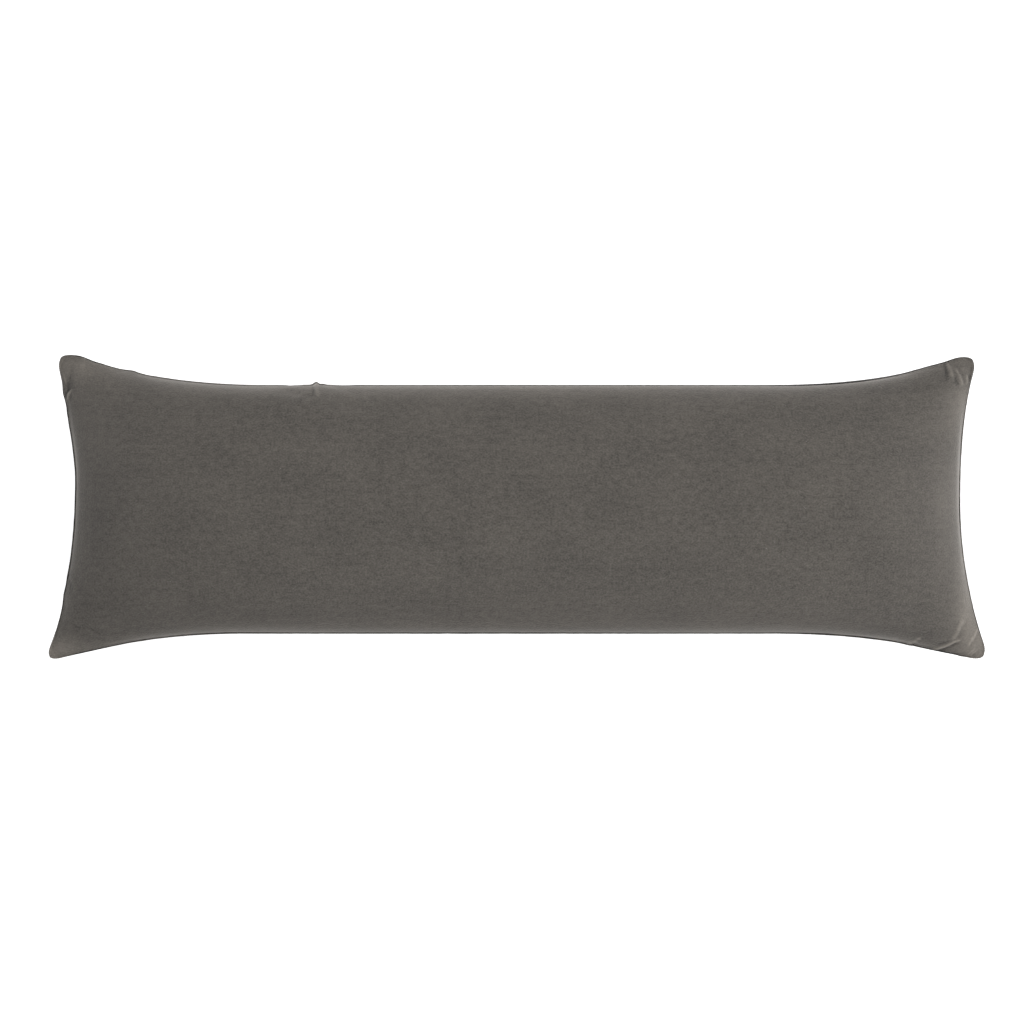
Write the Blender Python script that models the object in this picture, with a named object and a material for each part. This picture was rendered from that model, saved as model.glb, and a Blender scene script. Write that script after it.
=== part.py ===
"""Lumbar pillow: a long filled cushion in pile cloth, two panels sewn edge to edge, lying on its back.

Metres, +Z up. X runs along the pillow and Y across it, as seen from above the face.
The origin is in the middle of the plan, on the surface that the pillow lies on.
"""

from math import copysign, exp, hypot, pi, sin
from typing import NamedTuple

import bmesh
import bpy

MM = 0.001

# Cover as it was cut, before the fill drew its edges in
CUT_WIDTH = 406 * MM

# Heights: the crown above the seam, the seam above the surface, and the belly below the seam
FACE_CROWN = 87 * MM
SEAM_HEIGHT = 74 * MM
BACK_CROWN = 97 * MM

# The seam sinks a little towards the short ends, and more at the corners
END_DROOP = 7 * MM
CORNER_DROOP = 16 * MM

# Rim of the flat patch on the back, where the belly turns onto the surface
PATCH_RIM = 9 * MM

# Straight runs of the seam, seen from above
UPPER_SEAM_Y = 156.0 * MM
LOWER_SEAM_Y = -163.0 * MM
LEFT_SEAM_X = -568.2 * MM
RIGHT_SEAM_X = 569.8 * MM
HALF_WIDTH = (UPPER_SEAM_Y - LOWER_SEAM_Y) / 2
HALF_LENGTH = (RIGHT_SEAM_X - LEFT_SEAM_X) / 2

# Share of the half length over which the long sides run straight
STRAIGHT_SHARE = 0.5

# How far in from a short end the crown is full
END_REACH = 168 * MM

# How strongly the crown falls where the sides are further apart, and so leave less cloth to rise
SPARE_POWER = 0.30

# Bluntness of the crown at the seam: near 0 rises like a wall, 1 rises like a wedge
LONG_EDGE_BLUNTNESS = 0.36
SHORT_EDGE_BLUNTNESS = 0.40
CORNER_BLUNTNESS = 0.78

# Cells of each panel, and how far they crowd towards the seam, from 0 to 1
CELLS_ALONG = 64
CELLS_ACROSS = 30
CROWDING = 0.75

# The two panels' points on the seam are made one within this distance
SEAM_MERGE = 0.05 * MM

CLOTH_COLOUR = (0.110, 0.102, 0.090, 1.0)
CLOTH_ROUGHNESS = 0.9


class Corner(NamedTuple):
    """Where two sides would meet if the corner were sharp, and how much of each goes into its round tip."""

    x: float
    y: float
    tip_length: float


CORNERS = {
    ("upper", "left"): Corner(-594.5 * MM, 203.6 * MM, 33 * MM),
    ("upper", "right"): Corner(595.5 * MM, 202.0 * MM, 36 * MM),
    ("lower", "left"): Corner(-607.4 * MM, -200.2 * MM, 22 * MM),
    ("lower", "right"): Corner(609.6 * MM, -202.6 * MM, 33 * MM),
}


class Sweep(NamedTuple):
    """Where half a side leaves its straight run, and how sharply it then turns out to the corner."""

    start: float
    power: float


# Keys are a side and the corner that it runs to; starts are X on the long sides and Y on the short ones
SWEEPS = {
    ("upper", "left"): Sweep(-310.5 * MM, 2.3),
    ("upper", "right"): Sweep(306.5 * MM, 2.55),
    ("lower", "left"): Sweep(-351 * MM, 2.0),
    ("lower", "right"): Sweep(327 * MM, 2.15),
    ("left", "upper"): Sweep(37.5 * MM, 1.4),
    ("left", "lower"): Sweep(37.5 * MM, 2.2),
    ("right", "upper"): Sweep(2 * MM, 2.5),
    ("right", "lower"): Sweep(2 * MM, 1.9),
}


class Pucker(NamedTuple):
    """A place where the seam is caught up and stands out, or in, from its line."""

    side: str
    place: float
    out: float
    half_width: float


PUCKERS = (
    Pucker("upper", -255 * MM, 3.4 * MM, 6 * MM),
    Pucker("upper", -244 * MM, 1.2 * MM, 5 * MM),
    Pucker("upper", -494 * MM, 1.4 * MM, 10 * MM),
    Pucker("upper", -559 * MM, 2.0 * MM, 10 * MM),
    Pucker("upper", 562 * MM, 1.3 * MM, 10 * MM),
    Pucker("left", -84 * MM, 2.0 * MM, 7 * MM),
    Pucker("left", -145 * MM, -1.0 * MM, 26 * MM),
    Pucker("left", 92 * MM, -0.8 * MM, 12 * MM),
    Pucker("left", 145 * MM, 1.2 * MM, 8 * MM),
)


# How far in from the seam a pucker is felt
PUCKER_REACH = 22 * MM


class Fold(NamedTuple):
    """A soft trough in the face with a low ridge beside it, from one place to another."""

    x1: float
    y1: float
    x2: float
    y2: float
    half_width: float
    depth: float


FOLDS = (
    Fold(537 * MM, -184 * MM, 570 * MM, -175 * MM, 7 * MM, 3.2 * MM),
    Fold(505 * MM, -178 * MM, 521 * MM, -170 * MM, 6 * MM, 2.0 * MM),
    Fold(563 * MM, -168 * MM, 577 * MM, -145 * MM, 8 * MM, 2.2 * MM),
    Fold(556 * MM, 182 * MM, 560 * MM, 146 * MM, 7 * MM, 2.6 * MM),
    Fold(569 * MM, 171 * MM, 574 * MM, 158 * MM, 6 * MM, 2.2 * MM),
    Fold(-565 * MM, 189 * MM, -575 * MM, 177 * MM, 7 * MM, 2.6 * MM),
    Fold(-579 * MM, 154 * MM, -562 * MM, 140 * MM, 8 * MM, 2.2 * MM),
    Fold(-575 * MM, -100 * MM, -562 * MM, -112 * MM, 7 * MM, 2.0 * MM),
    Fold(-590 * MM, -184 * MM, -566 * MM, -172 * MM, 8 * MM, 2.0 * MM),
    Fold(-255 * MM, 156 * MM, -249 * MM, 134 * MM, 8 * MM, 1.8 * MM),
)


# The ridge beside a trough: its height as a share of the trough's depth, and its place in half widths
RIDGE_SHARE = 0.5
RIDGE_OFFSET = 1.8

# Share of the crown at which a fold reaches its full depth, so that it fades out on the seam
FOLD_FADE = 0.08


class Swell(NamedTuple):
    """A place where the fill lies thicker, or thinner, than the even crown."""

    x: float
    y: float
    radius: float
    height: float


SWELLS = (
    Swell(-470 * MM, -60 * MM, 110 * MM, -3.0 * MM),
    Swell(-250 * MM, 40 * MM, 120 * MM, 2.0 * MM),
    Swell(20 * MM, -50 * MM, 150 * MM, -2.0 * MM),
    Swell(270 * MM, 30 * MM, 130 * MM, 2.5 * MM),
    Swell(450 * MM, -40 * MM, 100 * MM, -1.5 * MM),
)


def mix(a, b, share):
    return a + (b - a) * share


def bump(offset, half_width):
    """1 at no offset, falling smoothly to nearly 0 at twice the half width."""
    return exp(-((offset / half_width) ** 2))


def ramp(value, low, high):
    """0 below low, 1 above high, and a smooth rise between."""
    share = min(1, max(0, (value - low) / (high - low)))
    return share * share * (3 - 2 * share)


def swept(side, towards, place, straight, corner_place, corner_line):
    """Line of a side at a place on its way to one corner, which it leaves its straight run to meet."""
    sweep = SWEEPS[side, towards]
    share = max(0, (place - sweep.start) / (corner_place - sweep.start))
    return mix(straight, corner_line, share**sweep.power)


def long_seam(side, x):
    """Y of the upper or lower seam at X."""
    towards = "left" if x < 0 else "right"
    corner = CORNERS[side, towards]
    straight = UPPER_SEAM_Y if side == "upper" else LOWER_SEAM_Y
    return swept(side, towards, x, straight, corner.x, corner.y)


def short_seam(side, y):
    """X of the left or right seam at Y."""
    towards = "lower" if y < SWEEPS[side, "upper"].start else "upper"
    corner = CORNERS[towards, side]
    straight = RIGHT_SEAM_X if side == "right" else LEFT_SEAM_X
    return swept(side, towards, y, straight, corner.y, corner.x)


def tip_ends(long_side, short_side):
    """Where a round tip joins its long side and its short side."""
    corner = CORNERS[long_side, short_side]
    x = corner.x - copysign(corner.tip_length, corner.x)
    y = corner.y - copysign(corner.tip_length, corner.y)
    return (x, long_seam(long_side, x)), (short_seam(short_side, y), y)


def tip_point(corner, along, across, share):
    """Point of a round tip: share 0 is its middle, and share 1 is its end called along."""
    t = 0.5 + 0.5 * share
    return tuple(
        (1 - t) ** 2 * b + 2 * t * (1 - t) * c + t**2 * a
        for a, b, c in zip(along, across, (corner.x, corner.y))
    )


def long_seam_point(side, u):
    """Point of the upper or lower seam, from u = -1 at the left tip to 1 at the right tip."""
    near = "left" if u < 0 else "right"
    x = mix(CORNERS[side, "left"].x, CORNERS[side, "right"].x, (u + 1) / 2)
    corner = CORNERS[side, near]
    share = abs(x - corner.x) / corner.tip_length
    if share >= 1:
        return x, long_seam(side, x)
    on_long, on_short = tip_ends(side, near)
    return tip_point(corner, on_long, on_short, share)


def short_seam_point(side, v):
    """Point of the left or right seam, from v = -1 at the lower tip to 1 at the upper tip."""
    near = "lower" if v < 0 else "upper"
    y = mix(CORNERS["lower", side].y, CORNERS["upper", side].y, (v + 1) / 2)
    corner = CORNERS[near, side]
    share = abs(y - corner.y) / corner.tip_length
    if share >= 1:
        return short_seam(side, y), y
    on_long, on_short = tip_ends(near, side)
    return tip_point(corner, on_short, on_long, share)


def pucker_shift(u, v, x, y):
    """How far the puckers move a panel point in X and Y; they fade out away from their seam."""
    shift = {"upper": 0, "lower": 0, "left": 0, "right": 0}
    from_seam = {
        "upper": (1 - v) * HALF_WIDTH,
        "lower": (1 + v) * HALF_WIDTH,
        "left": (1 + u) * HALF_LENGTH,
        "right": (1 - u) * HALF_LENGTH,
    }
    for pucker in PUCKERS:
        place = x if pucker.side in ("upper", "lower") else y
        here = bump(place - pucker.place, pucker.half_width)
        shift[pucker.side] += pucker.out * here * bump(from_seam[pucker.side], PUCKER_REACH)
    return shift["right"] - shift["left"], shift["upper"] - shift["lower"]


def plan_point(u, v):
    """Plan place of a panel point: u and v run from -1 to 1 between the seams, which it meets exactly."""
    s, t = (u + 1) / 2, (v + 1) / 2
    upper, lower = long_seam_point("upper", u), long_seam_point("lower", u)
    left, right = short_seam_point("left", v), short_seam_point("right", v)
    corners = [
        long_seam_point(side, end) for side in ("lower", "upper") for end in (-1, 1)
    ]
    place = []
    for k in (0, 1):
        between_long = mix(lower[k], upper[k], t)
        between_short = mix(left[k], right[k], s)
        between_corners = mix(
            mix(corners[0][k], corners[1][k], s),
            mix(corners[2][k], corners[3][k], s),
            t,
        )
        place.append(between_long + between_short - between_corners)
    shift = pucker_shift(u, v, *place)
    return place[0] + shift[0], place[1] + shift[1]


def fullness(u, v):
    """Share of the crown at a panel point: 1 in the middle, 0 on the seam."""
    width = long_seam_point("upper", u)[1] - long_seam_point("lower", u)[1]
    spare = (CUT_WIDTH**2 - width**2) / (CUT_WIDTH**2 - (2 * HALF_WIDTH) ** 2)
    to_end = ramp(abs(u), STRAIGHT_SHARE, 1)
    long_edge = mix(LONG_EDGE_BLUNTNESS, CORNER_BLUNTNESS, to_end)
    short_edge = mix(SHORT_EDGE_BLUNTNESS, CORNER_BLUNTNESS, abs(v) ** 3)
    across = sin(pi / 2 * (1 - abs(v))) ** long_edge
    from_end = min(1, (1 - abs(u)) * HALF_LENGTH / END_REACH)
    along = sin(pi / 2 * from_end) ** short_edge
    return spare**SPARE_POWER * across * along


def seam_height(u, v):
    """Height of the seam surface, which sinks towards the ends and the corners."""
    to_end = ramp(abs(u), STRAIGHT_SHARE, 1)
    to_corner = abs(u * v) ** 4
    return SEAM_HEIGHT - END_DROOP * to_end - CORNER_DROOP * to_corner


def fold_depth(x, y):
    """How far the folds lower the face at a plan place; a low ridge runs beside each trough."""
    depth = 0
    for fold in FOLDS:
        run = (fold.x2 - fold.x1, fold.y2 - fold.y1)
        length = hypot(*run)
        along = ((x - fold.x1) * run[0] + (y - fold.y1) * run[1]) / length
        aside = ((x - fold.x1) * run[1] - (y - fold.y1) * run[0]) / length
        past = max(0, -along, along - length)
        trough = bump(aside, fold.half_width)
        ridge = bump(aside - RIDGE_OFFSET * fold.half_width, fold.half_width)
        across = trough - RIDGE_SHARE * ridge
        depth += fold.depth * across * bump(past, fold.half_width)
    return depth


def swell_height(x, y):
    """How far the uneven fill lifts the crown at a plan place."""
    return sum(
        swell.height * bump(hypot(x - swell.x, y - swell.y), swell.radius)
        for swell in SWELLS
    )


def rested(height):
    """Height once the pillow rests: what would reach below the surface lies flat on it."""
    if height <= -PATCH_RIM:
        return 0
    if height >= PATCH_RIM:
        return height
    return (height + PATCH_RIM) ** 2 / (4 * PATCH_RIM)


def face_point(u, v):
    x, y = plan_point(u, v)
    full = fullness(u, v)
    lift = full * (FACE_CROWN + swell_height(x, y))
    fold = fold_depth(x, y) * min(1, full / FOLD_FADE)
    return x, y, seam_height(u, v) + lift - fold


def back_point(u, v):
    x, y = plan_point(u, v)
    return x, y, rested(seam_height(u, v) - fullness(u, v) * BACK_CROWN)


def crowded(share):
    """Moves a grid line, -1 to 1, nearer to the seam, where the cloth curves most."""
    return mix(share, sin(pi / 2 * share), CROWDING)


def add_panel(mesh, shape, diagonals):
    """Adds one panel as a grid of halved cells, each corner placed by the shape function."""
    before = len(mesh.faces)
    grid = bmesh.ops.create_grid(
        mesh, x_segments=CELLS_ALONG, y_segments=CELLS_ACROSS, size=1
    )
    for vert in grid["verts"]:
        vert.co = shape(crowded(vert.co.x), crowded(vert.co.y))
    bmesh.ops.triangulate(mesh, faces=mesh.faces[before:], quad_method=diagonals)


def cloth_material():
    """Charcoal grey pile cloth."""
    material = bpy.data.materials.new("pile cloth")
    material.use_nodes = True
    shader = material.node_tree.nodes["Principled BSDF"]
    shader.inputs["Base Color"].default_value = CLOTH_COLOUR
    shader.inputs["Roughness"].default_value = CLOTH_ROUGHNESS
    shader.inputs["Metallic"].default_value = 0.0
    return material


def centre_plan(mesh):
    """Moves the mesh so that the middle of its plan is at the origin: its corners are uneven."""
    for axis in (0, 1):
        places = [vert.co[axis] for vert in mesh.verts]
        middle = (min(places) + max(places)) / 2
        for vert in mesh.verts:
            vert.co[axis] -= middle


def make_pillow():
    """The pillow as one closed solid: face and back panels joined along the seam.

    Their cells are halved along opposite diagonals, so no triangle is in both panels at a tip.
    """
    mesh = bmesh.new()
    add_panel(mesh, face_point, "FIXED")
    add_panel(mesh, back_point, "ALTERNATE")
    bmesh.ops.remove_doubles(mesh, verts=mesh.verts, dist=SEAM_MERGE)
    bmesh.ops.recalc_face_normals(mesh, faces=mesh.faces)
    centre_plan(mesh)
    data = bpy.data.meshes.new("pillow")
    mesh.to_mesh(data)
    mesh.free()
    data.shade_smooth()
    data.materials.append(cloth_material())
    pillow = bpy.data.objects.new("pillow", data)
    bpy.context.scene.collection.objects.link(pillow)
    return pillow


def clear_scene():
    for old in list(bpy.data.objects):
        bpy.data.objects.remove(old)


clear_scene()
make_pillow()
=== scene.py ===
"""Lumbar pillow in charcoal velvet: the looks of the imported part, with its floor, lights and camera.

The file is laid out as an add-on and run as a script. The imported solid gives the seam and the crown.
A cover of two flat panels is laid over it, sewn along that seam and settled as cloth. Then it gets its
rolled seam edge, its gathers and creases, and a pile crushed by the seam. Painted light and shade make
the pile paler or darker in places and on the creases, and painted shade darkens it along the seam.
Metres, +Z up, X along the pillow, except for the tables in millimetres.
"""

from math import inf, pi

import bmesh
import bpy
import numpy as np
from bpy.props import FloatProperty, FloatVectorProperty, IntProperty, PointerProperty
from bpy.types import Operator, Panel, PropertyGroup
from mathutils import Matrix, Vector, noise
from mathutils.bvhtree import BVHTree


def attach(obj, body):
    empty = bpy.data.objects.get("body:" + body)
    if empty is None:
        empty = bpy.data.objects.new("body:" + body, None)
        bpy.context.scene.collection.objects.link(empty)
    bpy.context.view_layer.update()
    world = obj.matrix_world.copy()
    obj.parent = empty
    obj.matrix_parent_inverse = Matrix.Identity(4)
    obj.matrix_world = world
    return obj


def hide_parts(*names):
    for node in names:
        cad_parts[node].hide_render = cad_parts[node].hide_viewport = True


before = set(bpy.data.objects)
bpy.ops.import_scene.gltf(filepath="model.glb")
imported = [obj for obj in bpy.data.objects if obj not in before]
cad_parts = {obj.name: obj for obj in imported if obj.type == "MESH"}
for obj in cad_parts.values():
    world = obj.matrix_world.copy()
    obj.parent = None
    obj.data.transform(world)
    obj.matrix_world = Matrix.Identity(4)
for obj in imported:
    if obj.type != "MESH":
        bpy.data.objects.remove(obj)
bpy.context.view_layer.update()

bl_info = {
    "name": "Lumbar Pillow",
    "version": (1, 0, 0),
    "blender": (4, 5, 0),
    "location": "3D View > Sidebar > Pillow",
    "description": "A long velvet pillow with a knife-edge seam, lying on a pale floor",
    "category": "Object",
}

MM = 0.001
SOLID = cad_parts["pillow"]

# Points of the solid's loose triangles are merged within this distance
MERGE_DISTANCE = 0.1 * MM

# The seam's points lie this far apart while it is laid, and each is levelled with those this near
SEAM_STEP = 0.5 * MM
SEAM_ROUNDING = 5 * MM

# The tips sink below this height, and the plan grows there by this share for each metre they sink
SEAM_HEIGHT = 74 * MM
TIP_SPREAD = 0.2

# Lines along and across the patch that is laid on the solid, for each one of the settling cloth
PATCH_DETAIL = (2, 3)

# How often the laid cloth is spread evenly, and then how often it is softened
SPREADING_PASSES = 2
SOFTENING_PASSES = 8

# Cloth that lies this near the bed stays there while the cover settles
BED_HOLD = 0.5 * MM

# The velvet's weight and stiffness while it settles
CLOTH = {
    "quality": 5,
    "mass": 0.3,
    "tension_stiffness": 40,
    "compression_stiffness": 40,
    "shear_stiffness": 10,
    "bending_stiffness": 4,
    "tension_damping": 10,
    "compression_damping": 10,
    "shear_damping": 10,
    "bending_damping": 1,
}

# How long a cell of the finished cover is at each distance from the seam
CELL_DISTANCES = (0.0, 3 * MM, 12 * MM, 60 * MM, 110 * MM)
CELL_LENGTHS = (0.5 * MM, 0.85 * MM, 1.15 * MM, 1.7 * MM, 6.0 * MM)

# Cells are also short along the panel where its upper seam is caught up: how long at each distance
CAUGHT_UP_PLACE = 345 * MM
CAUGHT_UP_DISTANCES = (12 * MM, 45 * MM)
CAUGHT_UP_LENGTHS = (1.4 * MM, 6.0 * MM)

# How far in from the seam the cloth is drawn onto its exact line, and how far in a gather is felt
SEAM_PULL = 9 * MM
GATHER_REACH = 16 * MM

# How far in from the seam the rolled edge and the step between the two lips fade out
ROLL_REACH = 7 * MM
LIP_FADING = 45 * MM

# Fine gathers run in from the seam: the length of their waves and of their swelling, and their reach
FINE_GATHER_WAVE = 9 * MM
FINE_GATHER_SWELL = 42 * MM
FINE_GATHER_FADING = 13 * MM

# In shares of the gathering setting: middling height of the fine gathers, and how much they swell
FINE_GATHER_HEIGHTS = (0.6, 0.8)

# The seam's painted shade changes over this length, by this share at the most
TONE_WAVE = 38 * MM
TONE_CHANGE = 0.5

# Steps in the noise from one side of the seam, and from one panel, to the next, so that none repeats
WAVE_STEPS = (7.3, 3.1)
SWELL_STEPS = (5.7, 4.9)

# The same for the tone, from one panel and from one side to the next, counted from here
TONE_STEPS = (1, 6.1)
TONE_START = 2.7

# How far in from the seam its painted shade is felt, on the face and on the back
SEAM_TONE_REACHES = (4.5 * MM, 3 * MM)

# Where the seam's painted shade is deeper than this, the stitches have crushed the pile
# and it has lost sheen
CRUSHED_TONE = 0.5

# Where the cloth turned in at the seam holds the face down: distance from the seam, and half width
HELD_DOWN = (5.5 * MM, 5 * MM)

# In half widths of a crease: the fading of its ends, how far aside its trough is, and how wide
CREASE_ENDS = 2
TROUGH_ASIDE = 2
TROUGH_HALF_WIDTH = 1.5

# How much of a crease's painted light its ridge takes on as painted highlight, and its trough as
# painted shade
RIDGE_SHADE = 1.8
TROUGH_SHADE = 0.5

# The two panels lie this far apart on the cloth, so the back doesn't repeat the face's pattern
BACK_PANEL_SHIFT = 0.9

# Normals of the smallest cells are divided by at least this
SMALLEST_NORMAL = 1e-12


# Places where the seam stands out from its line, or in below 0, in millimetres: the side of the seam,
# the place along it, how far out the seam stands, and half the width of the place
GATHERS = (
    # The upper seam is caught up: the solid's broad rise there is drawn together to a fine one
    ("upper", -256, -2.0, 16),
    ("upper", -258, 3.5, 3.9),
    ("upper", -249, 1.1, 3.5),
    # Small puckers near the tips
    ("upper", -495, 0.8, 6),
    ("lower", 503, 0.7, 4),
    ("lower", 572, 0.6, 4),
    # The long sides stand out a little more where they run into the tips
    ("upper", -540, 1.5, 30),
    ("upper", 531, 2.1, 28),
    ("lower", -545, 1.75, 42),
    ("lower", 538, 2.1, 36),
    # The left side is uneven
    ("left", 100, 1.3, 22),
    ("left", -112, 1.2, 9),
    ("left", 121, 0.5, 5),
    ("left", 146, 0.8, 7),
)


# Fine creases in the face, in millimetres: the path in the plan, the half width, the height of the
# ridge along it, or of a hollow below 0, and the depth of the trough on its right, as seen by someone
# who walks along the path. The last number is how much paler the ridge is painted, a painted
# highlight, with painted shade in the trough where it has one; below 0 the two swap
CREASES = (
    # Lower right corner: one long bright fold, then shorter ones towards the tip
    (((537, -183), (549, -180), (557, -177), (563, -174), (568, -172.5)), 1.3, 1.0, 0.6, 1.9),
    (((544, -176), (556, -173)), 1.2, -0.4, 0.0, -0.5),
    (((506, -177), (512, -173.5), (518, -169)), 1.3, 0.7, 0.5, 1.8),
    (((562, -168), (566, -162), (569, -154), (572, -149)), 2.4, 0.7, 0.6, 0.9),
    (((582.5, -177), (586, -170)), 1.4, 0.6, 0.6, 1),
    (((588, -171), (590, -165), (592.5, -159)), 1.4, 0.4, 0.4, 0.8),
    (((582, -190), (589, -184)), 1.1, 0.5, 0.5, 1),
    (((584.5, -192), (591.5, -186)), 1.1, 0.5, 0.5, 1),
    # Upper right corner: folds and hollows that run down from the tip
    (((560, 170), (558, 176), (555, 182)), 2.0, 0.8, 0.0, 0.9),
    (((552.5, 170), (552, 181)), 3.0, -0.8, 0.0, -0.7),
    (((573, 160), (570.5, 168), (566.5, 175)), 1.6, 0.8, 0.5, 1),
    (((566, 160), (564.5, 166)), 2.4, -0.5, 0.0, -0.6),
    (((580.5, 161), (580, 168)), 1.3, 0.6, 0.6, 1.2),
    (((584.5, 160), (586, 178)), 1.6, -0.6, 0.0, -0.5),
    # Upper left corner: a long dark hollow, and a small bright hook at the seam
    (((-574, 156), (-575, 165), (-573.5, 177)), 3.2, -0.9, 0.0, -0.5),
    (((-578, 157), (-577, 151)), 2.4, -0.8, 0.0, -0.7),
    (((-575.5, 148), (-577.5, 145), (-578.5, 141)), 1.4, 0.8, 0.5, 2.6),
    (((-573.5, 144), (-574.5, 139)), 1.4, -0.4, 0.0, -0.4),
    (((-584, 168), (-582.5, 163)), 1.6, 0.5, 0.0, 0.9),
    (((-557, 190), (-559, 180)), 3.0, 0.6, 0.0, 0.3),
    # Lower left corner: a hollow where the left seam is caught up, and faint ones by the lower seam
    (((-572, -103), (-574.5, -98), (-578, -91)), 1.3, -1.2, -0.9, -1.2),
    (((-572.5, -151), (-562.5, -156)), 1.2, -0.5, -0.3, -0.35),
    (((-571, -156), (-564, -161)), 1.2, -0.4, -0.3, -0.3),
    (((-547, -157), (-541, -161), (-536, -163.5)), 1.2, -0.4, -0.3, -0.4),
    # Under the caught-up place in the upper seam
    (((-254, 143), (-256, 150), (-256.5, 156)), 2.0, 0.8, 0.0, 0.6),
    (((-260, 145), (-260, 156)), 1.6, -0.6, 0.0, -0.8),
)


# Places where the pile's colour is painted paler or darker, as painted light and shade: X, Y, half the
# length and half the width in millimetres, and how much paler it is there, or darker below 0
PAINTED_LIGHT_PATCHES = (
    # Painted light on the tips, most of all the lower two
    (-592, -186, 26, 20, 1.8),
    (592, -180, 26, 40, 1.35),
    (-580, 184, 34, 26, 0.75),
    (580, 182, 24, 18, 0.35),
    # Painted light along the edge on the right too, most of all above and below its middle
    (580, -130, 13, 40, 1.7),
    (596, -165, 8, 34, 0.7),
    (571, -85, 12, 32, 0.8),
    (580, -155, 26, 36, 0.5),
    (578, 145, 10, 26, 0.7),
    (568, 126, 18, 36, 1.1),
    (548, 5, 18, 90, 0.55),
    # Painted shade along the left edge, and inside the lower right corner
    (-530, -15, 30, 70, -0.3),
    (-558, -130, 18, 35, -0.25),
    (528, -128, 22, 32, -0.25),
    # Broad and faint: paler on the left of the face, darker on the right
    (-455, -60, 55, 70, 0.12),
    (440, -50, 55, 100, -0.14),
    # Painted light and shade in stretches along the two long seams
    (-525, 168, 60, 15, 0.5),
    (-548, 180, 40, 10, 0.6),
    (-525, 125, 35, 35, 0.15),
    (-100, 147, 360, 10, 0.3),
    (370, 156, 140, 12, -0.6),
    (-550, -183, 45, 10, 0.7),
    (0, -161, 400, 5, -0.5),
    (0, -146, 420, 8, 0.12),
    (430, -166, 100, 8, -0.5),
)

# How deep the painted shade is right at the seam, read along each side from left to right or
# lower to upper; the same table sets how far the face is held down there
SEAM_TONES = {
    "lower": (0.1, 0.45, 0.75, 0.9, 0.9, 0.9, 0.9, 0.8, 0.25),
    "upper": (0.0, 0.1, 0.3, 0.5, 0.75, 0.9, 0.85, 0.7, 0.1),
    "left": (0.3, 0.4, 0.65, 0.65, 0.35),
    "right": (0.0, 0.15, 0.6, 0.4, 0.1),
}

# Grains in the pile: their length and width on the cloth, their detail, and their share in its colour
GRAINS = {
    "cloud": (70 * MM, 50 * MM, 3, 0.18),
    "nap": (9.5 * MM, 6.5 * MM, 2, 0.27),
    "fine": (2.7 * MM, 2.1 * MM, 2, 0.5),
    "bands": (450 * MM, 13 * MM, 1, 0.05),
}

# Inputs of the grain group and their defaults: its noise is spread out from low and high to 0 and 1
GRAIN_SIZES = {"Length": 10 * MM, "Width": 3 * MM, "Detail": 2.0, "Low": 0.35, "High": 0.65}
VELVET_RANGE = (0.3, 0.7)

# How strongly the painted light and shade change the pile's colour, and how strongly nap shows
# in its relief
PAINTED_LIGHT_STRENGTH = 0.41
NAP_RELIEF = 0.5

# The colour of the seam's deepest painted shade: what it leaves of the pile's colour
SEAM_SHADE_COLOUR = (0.25, 0.26, 0.27, 1)

# The yarns' darkest and palest fibre against their own colour, and the size of their unevenness
YARN_TONES = (0.7, 1.25)
THREAD_GRAIN = 0.6 * MM
FIBRE_GRAIN = 20 * MM

# A fibre leans from upright by this angle at the most, and is at least this share of the full length
FIBRE_LEAN = 1.45
SHORTEST_FIBRE = 0.35

# Place of each light and width of its square, and the place that all of them look at
LIGHTS = {
    "upper_right": ((1.44, 1.92, 1.9), 1.4),
    "upper_left": ((-1.44, 1.92, 1.9), 1.4),
    "lower": ((0, -2.4, 1.9), 1.4),
    "low_right": ((2.2, -1.43, 0.7), 1.2),
}
LIT_PLACE = (0, 0, 0.08)

# The floor is this wide and lies this far below the pillow
FLOOR_WIDTH = 16
FLOOR_DROP = 0.3 * MM

# The camera's height is counted from here, about the height of the seam
CAMERA_BASE = 70 * MM

# Width of the camera's sensor in millimetres, as its lens is
SENSOR_WIDTH = 36


def a_number(name, description, default, **kind):
    """A setting that is a number and not below 0, with a unit or subtype where one fits."""
    return FloatProperty(name=name, description=description, default=default, min=0.0, **kind)


def a_length(name, description, default):
    """A setting that is a length."""
    return a_number(name, description, default, unit="LENGTH")


def a_share(name, description, default):
    """A setting that is a share of 1."""
    return a_number(name, description, default, max=1.0, subtype="FACTOR")


def a_power(name, description, default):
    """A setting that is the power of a light."""
    return a_number(name, description, default, unit="POWER")


def a_colour(name, description, default):
    """A setting that is a colour."""
    return FloatVectorProperty(
        name=name, description=description, default=default, subtype="COLOR", min=0.0, max=1.0
    )


class CoverSettings(PropertyGroup):
    """Sizes of the sewn cover, and how it settles over its filling."""

    cut_length: a_length("Cut length", "Length of each flat panel from seam to seam", 1.219)
    cut_width: a_length("Cut width", "Width of each flat panel from seam to seam", 0.406)
    settling_cell: a_length("Settling cell", "Size of the cloth's cells while it settles", 7 * MM)
    settling_frames: IntProperty(
        name="Settling frames", description="Steps of the cloth simulation", default=36, min=1
    )
    pressure: a_number("Pressure", "How hard the filling pushes the cloth out", 4.0)
    hold: a_share("Filling hold", "How firmly the filling keeps the cloth where it lies", 0.02)
    furthest_move: a_length(
        "Furthest move", "The most that any point of the cloth may move as it settles", 8 * MM
    )
    roll: a_length(
        "Rolled edge", "How far the cloth on both sides of the seam rolls out past it", 0.5 * MM
    )
    groove_depth: a_length("Groove depth", "How far the stitches pull the seam line in", 1.0 * MM)
    groove_width: a_length("Groove width", "Half width of the groove along the seam", 1.4 * MM)
    lip_step: a_length(
        "Lip step", "How far the back panel's lip stands out past the face panel's", 1.7 * MM
    )
    flattening: a_length(
        "Flattening", "How far the cloth turned in at the seam holds the face down", 1.3 * MM
    )
    gathering: a_length("Gathering", "Height of the fine gathers by the seam", 0.45 * MM)


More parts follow.
